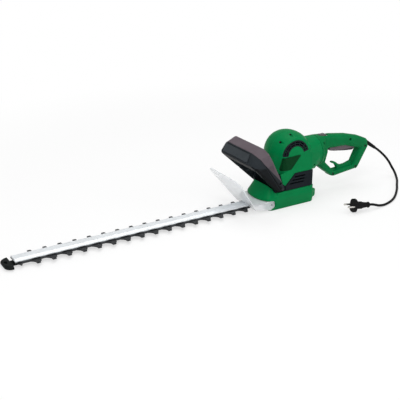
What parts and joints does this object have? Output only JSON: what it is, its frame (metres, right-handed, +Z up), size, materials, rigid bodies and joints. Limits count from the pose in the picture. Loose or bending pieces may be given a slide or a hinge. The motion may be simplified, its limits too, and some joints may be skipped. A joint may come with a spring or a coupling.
{
  "type": "electric hedge trimmer",
  "caption": "Mains hedge trimmer with toothed reciprocating blades, clear hand guard, hoop front handle, drum-shaped motor housing and swivelling rear handle.",
  "frame": {"origin": "middle of the base plate's flat underside, on the surface the trimmer stands on", "axes": "+X from the blades' tip towards the rear handle and the cord, +Z up, +Y to the far side, away from the nameplate"},
  "size_m": [1.1202, 0.2477, 0.1885],
  "materials": {
    "green_shell": "fine-grained satin",
    "dark_shell": "matt",
    "handle_grey": "matt",
    "bar_grey": "matt",
    "trigger_grey": "matt",
    "slider_grey": "matt",
    "label": "satin",
    "black_plastic": "matt",
    "tip_plastic": "matt",
    "clear_plastic": "clear",
    "base_metal": "satin",
    "cast_plate": "cast",
    "steel": "ground",
    "laminations": "laminated",
    "screw_steel": "zinc plated",
    "spring_steel": "drawn wire",
    "blade_steel": "ground and blackened",
    "guide_aluminium": "satin anodised",
    "copper": "enamelled wire",
    "brass": "machined",
    "carbon": "matt",
    "capacitor_yellow": "gloss",
    "rubber_black": "matt",
    "cord_black": "satin",
    "plug_black": "satin",
    "pin_metal": "nickel plated"
  },
  "bodies": {
    "body": {"gear_case": "green_shell", "base_plate": "base_metal", "base_screws": "screw_steel", "bearing_plate": "cast_plate", "vent_collar": "dark_shell", "motor_shell_left": "green_shell", "motor_shell_right": "green_shell", "shell_screws": "screw_steel", "label_plate": "label", "intake_grille_left": "dark_shell", "intake_grille_right": "dark_shell", "stator_core": "laminations", "stator_windings": "copper", "brush_plate": "black_plastic", "brush_holders": "brass", "brushes": "carbon", "motor_bearings": "steel", "gear_bushes": "brass", "support_bar": "blade_steel", "guide_bar": "guide_aluminium", "bar_screws": "screw_steel", "blade_bolts": "screw_steel", "blade_spacers": "steel", "tip_guard": "tip_plastic", "guard": "clear_plastic", "guard_screws": "screw_steel", "front_handle_front": "dark_shell", "front_handle_rear": "handle_grey", "front_handle_screws": "screw_steel", "switch_bar_springs": "spring_steel", "front_switch": "black_plastic", "front_wires": "cord_black", "power_cord": "cord_black", "plug_body": "plug_black", "plug_pins": "pin_metal"},
    "rear_handle": {"handle_shell_left": "green_shell", "handle_shell_right": "green_shell", "handle_screws": "screw_steel", "lock_spring": "spring_steel", "trigger_pin": "steel", "trigger_spring": "spring_steel", "rear_switch": "black_plastic", "capacitor": "capacitor_yellow", "handle_wires": "cord_black", "cord_clamp": "black_plastic", "strain_relief": "rubber_black"},
    "trigger": {"trigger": "trigger_grey"},
    "rear_plunger": {"rear_plunger": "brass"},
    "lock_slider": {"lock_slider": "slider_grey"},
    "switch_bar": {"switch_bar": "bar_grey"},
    "rotor": {"rotor_shaft": "steel", "armature": "laminations", "commutator": "copper", "fan": "black_plastic", "pinion": "steel"},
    "gear": {"drive_gear": "steel", "gear_shaft": "steel", "eccentrics": "steel"},
    "upper_blade": {"upper_blade": "blade_steel"},
    "lower_blade": {"lower_blade": "blade_steel"}
  },
  "joints": [
    {"name": "handle_swivel", "type": "hinge", "parent": "body", "child": "rear_handle", "pos_m": [0.098, 0, 0.121], "axis": [1, 0, 0], "range_deg": [-90, 90]},
    {"name": "trigger_pull", "type": "hinge", "parent": "rear_handle", "child": "trigger", "pos_m": [0.23, 0, 0.115], "axis": [0, 1, 0], "range_deg": [0, 4.5], "stiffness_Nm_per_rad": 1.5, "springref_deg": -4.58, "deforming": ["trigger_spring"]},
    {"name": "plunger_press", "type": "slide", "parent": "rear_handle", "child": "rear_plunger", "axis": [0, 0, 1], "range_m": [0, 0.0042]},
    {"name": "lock_slide", "type": "slide", "parent": "rear_handle", "child": "lock_slider", "axis": [1, 0, 0], "range_m": [0, 0.005], "stiffness_N_per_m": 200, "springref_m": -0.001, "deforming": ["lock_spring"]},
    {"name": "switch_bar_press", "type": "slide", "parent": "body", "child": "switch_bar", "axis": [0.9296, 0, -0.3686], "range_m": [0, 0.003], "stiffness_N_per_m": 600, "springref_m": -0.001, "deforming": ["switch_bar_springs"]},
    {"name": "gear_turn", "type": "hinge", "parent": "body", "child": "gear", "pos_m": [-0.026, 0, 0], "axis": [0, 0, 1], "range_deg": [-90, 90]},
    {"name": "rotor_turn", "type": "hinge", "parent": "body", "child": "rotor", "pos_m": [0.006, 0, 0], "axis": [0, 0, 1], "range_deg": [-630, 630]},
    {"name": "upper_blade_slide", "type": "slide", "parent": "body", "child": "upper_blade", "axis": [1, 0, 0], "range_m": [-0.009, 0.009]},
    {"name": "lower_blade_slide", "type": "slide", "parent": "body", "child": "lower_blade", "axis": [1, 0, 0], "range_m": [-0.009, 0.009]}
  ],
  "couplings": [
    {"joint": "rotor_turn", "follows": "gear_turn", "ratio": -7},
    {"joint": "upper_blade_slide", "follows": "gear_turn", "m_per_rad": -0.0057296},
    {"joint": "lower_blade_slide", "follows": "gear_turn", "m_per_rad": 0.0057296},
    {"joint": "plunger_press", "follows": "trigger_pull", "m_per_rad": 0.0525}
  ]
}
